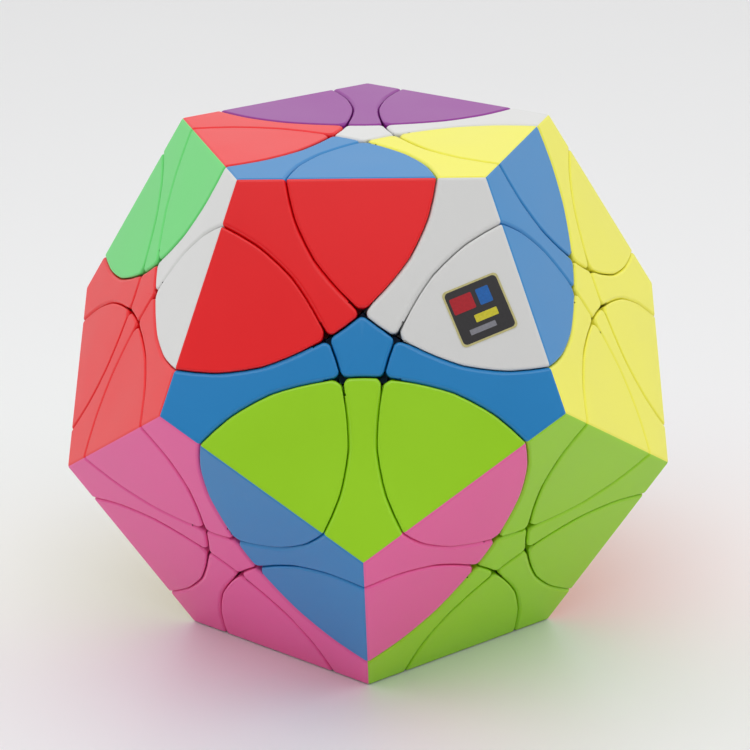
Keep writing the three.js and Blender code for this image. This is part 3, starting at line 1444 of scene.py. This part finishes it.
@dataclass(frozen=True)
class Studio:
    """A pale floor, soft light and the camera.

    Angles are in degrees. The camera's lengths are in edges of the puzzle, its lens and sensor in
    millimetres, and the floor's and the lamps' lengths in metres. The room is as bright as wall_light, and as
    front_light where it faces dark_side; dark_from and dark_to say how closely it has to face that way.
    """

    azimuth: float = 1.09
    elevation: float = 21.84
    roll: float = -0.84
    distance: float = 9.815
    shift_right: float = 0.0308
    shift_up: float = -0.0122
    lens: float = 105.06
    sensor: float = 36.0
    floor_reach: float = 6.0
    wall_light: float = 0.95
    front_light: float = 0.25
    dark_side: tuple[float, float, float] = (0.0, -0.92, 0.39)
    dark_from: float = 0.2
    dark_to: float = 0.95

    def camera(self, centre: Vector, edge: float) -> None:
        """Place the camera.

        Args:
            centre: the puzzle's centre.
            edge: the length of an edge, in metres.
        """
        az, el, roll = (math.radians(a) for a in (self.azimuth, self.elevation, self.roll))
        back = Vector((math.sin(az) * math.cos(el), -math.cos(az) * math.cos(el), math.sin(el)))
        right = Vector((math.cos(az), math.sin(az), 0))
        up = back.cross(right)
        aim = centre + (right * self.shift_right + up * self.shift_up) * edge
        tilted_right = right * math.cos(roll) + up * math.sin(roll)
        tilted_up = up * math.cos(roll) - right * math.sin(roll)
        data = bpy.data.cameras.new("camera")
        data.lens = self.lens
        data.sensor_width = self.sensor
        data.clip_start = 0.01
        camera = bpy.data.objects.new("camera", data)
        bpy.context.scene.collection.objects.link(camera)
        turn = Matrix((tilted_right, tilted_up, back)).transposed().to_4x4()
        camera.matrix_world = Matrix.Translation(aim + back * self.distance * edge) @ turn
        bpy.context.scene.camera = camera

    def floor(self) -> None:
        """Lay a wide pale floor."""
        bm = bmesh.new()
        bmesh.ops.create_grid(bm, x_segments=1, y_segments=1, size=self.floor_reach)
        floor = object_from(bm, "floor")
        floor.data.materials.append(FloorPaint().material())
        floor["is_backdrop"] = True

    def lamp(self, name: str, place: tuple[float, float, float], size: float, power: float,
             centre: Vector) -> None:
        """Hang a square soft lamp that looks at the puzzle.

        Args:
            name: the lamp's name.
            place: its place, in metres.
            size: its side, in metres.
            power: its power, in watts.
            centre: the point that it looks at.
        """
        data = bpy.data.lights.new(name, "AREA")
        data.shape = "SQUARE"
        data.size = size
        data.energy = power
        lamp = bpy.data.objects.new(name, data)
        bpy.context.scene.collection.objects.link(lamp)
        away = (Vector(place) - centre).normalized()
        lamp.matrix_world = Matrix.Translation(place) @ away.to_track_quat("Z", "Y").to_matrix().to_4x4()

    def room(self) -> None:
        """Surround the scene with pale walls, darker in front where nothing lights them."""
        world = bpy.data.worlds.new("room")
        world.use_nodes = True
        nodes, links = world.node_tree.nodes, world.node_tree.links
        place = nodes.new("ShaderNodeTexCoord")
        facing = nodes.new("ShaderNodeVectorMath")
        facing.operation = "DOT_PRODUCT"
        facing.inputs[1].default_value = self.dark_side
        walls = nodes.new("ShaderNodeMapRange")
        walls.interpolation_type = "SMOOTHSTEP"
        walls.inputs["From Min"].default_value = self.dark_from
        walls.inputs["From Max"].default_value = self.dark_to
        walls.inputs["To Min"].default_value = self.wall_light
        walls.inputs["To Max"].default_value = self.front_light
        background = nodes["Background"]
        background.inputs["Color"].default_value = (1.0, 1.0, 1.0, 1)
        links.new(place.outputs["Object"], facing.inputs[0])
        links.new(facing.outputs["Value"], walls.inputs["Value"])
        links.new(walls.outputs["Result"], background.inputs["Strength"])
        bpy.context.scene.world = world
        bpy.context.scene.view_settings.view_transform = "Standard"

    def light(self, centre: Vector) -> None:
        """Light the puzzle by the room, with a lamp overhead and one at either side.

        Args:
            centre: the puzzle's centre.
        """
        self.room()
        self.lamp("overhead", (0.0, -0.4, 0.8), size=0.7, power=2.4, centre=centre)
        self.lamp("left_box", (-0.75, -0.1, 0.5), size=0.6, power=0.4, centre=centre)
        self.lamp("right_box", (0.75, -0.1, 0.5), size=0.6, power=0.6, centre=centre)


def main() -> None:
    """Build the puzzle around its frame and set up the studio."""
    logging.basicConfig(level=logging.INFO)
    for spare in list(bpy.data.objects):
        bpy.data.objects.remove(spare)
    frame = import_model()
    puzzle = Puzzle(frame, Palette())
    studio = Studio()
    studio.floor()
    studio.camera(puzzle.centre, puzzle.solid.edge * MILLIMETRE)
    studio.light(puzzle.centre)
    puzzle.build_shell()
    puzzle.build_core()
    puzzle.build_label()


if __name__ == "__main__":
    main()
